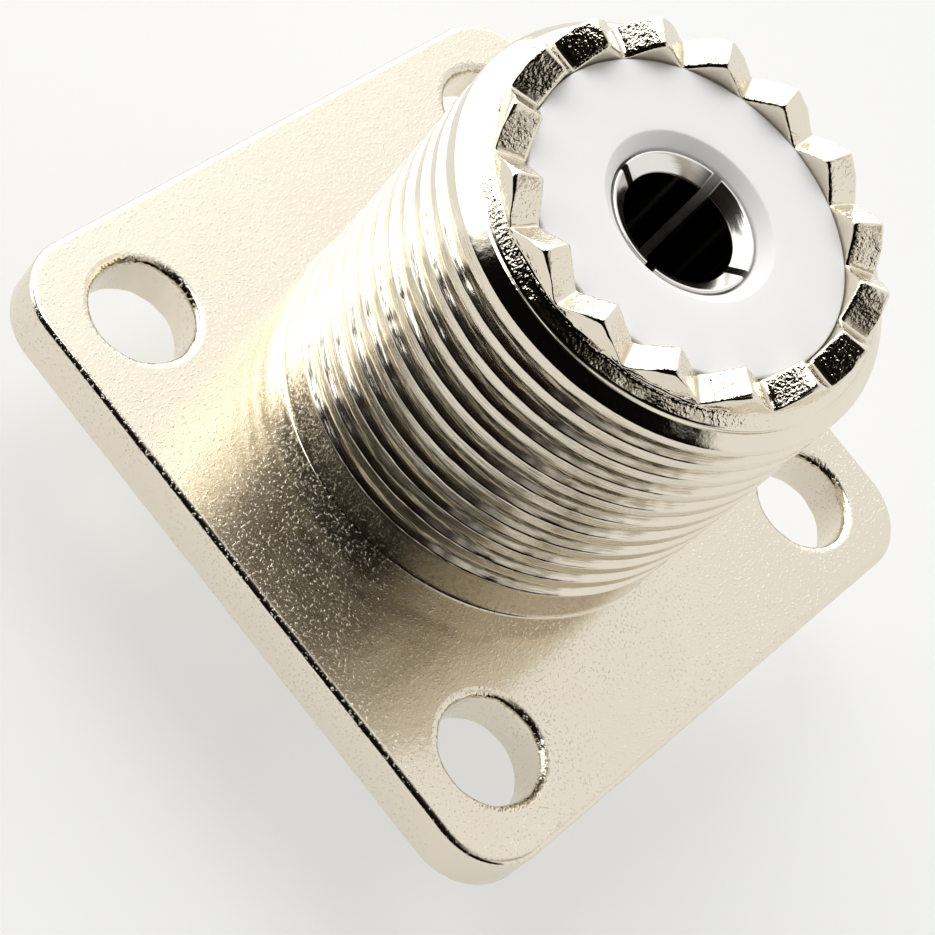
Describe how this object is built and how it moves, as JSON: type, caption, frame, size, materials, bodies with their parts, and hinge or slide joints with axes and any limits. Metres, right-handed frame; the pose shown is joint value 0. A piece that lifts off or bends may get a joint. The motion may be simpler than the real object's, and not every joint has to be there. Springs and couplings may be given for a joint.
{
  "type": "uhf connector",
  "caption": "Panel-mount coaxial socket: square flange with corner holes, threaded barrel with a toothed crown, white insulator and a slotted centre contact.",
  "frame": {"origin": "centre of the flange's rear face, on the barrel's axis, at the middle of the four holes", "axes": "+Z along the barrel's axis, from the panel towards the mouth; +X and +Y square to the flange's sides"},
  "size_m": [0.0254, 0.0254, 0.0223],
  "materials": {
    "plated_metal": "warm nickel plate over a die casting, slightly grained",
    "white_plastic": "smooth white moulding",
    "contact_metal": "bright nickel or silver plate on brass",
    "ring_metal": "plain spring steel"
  },
  "bodies": {
    "root": {"shell": "plated_metal", "insulator": "white_plastic", "contact": "contact_metal", "retaining_ring": "ring_metal"}
  },
  "joints": []
}
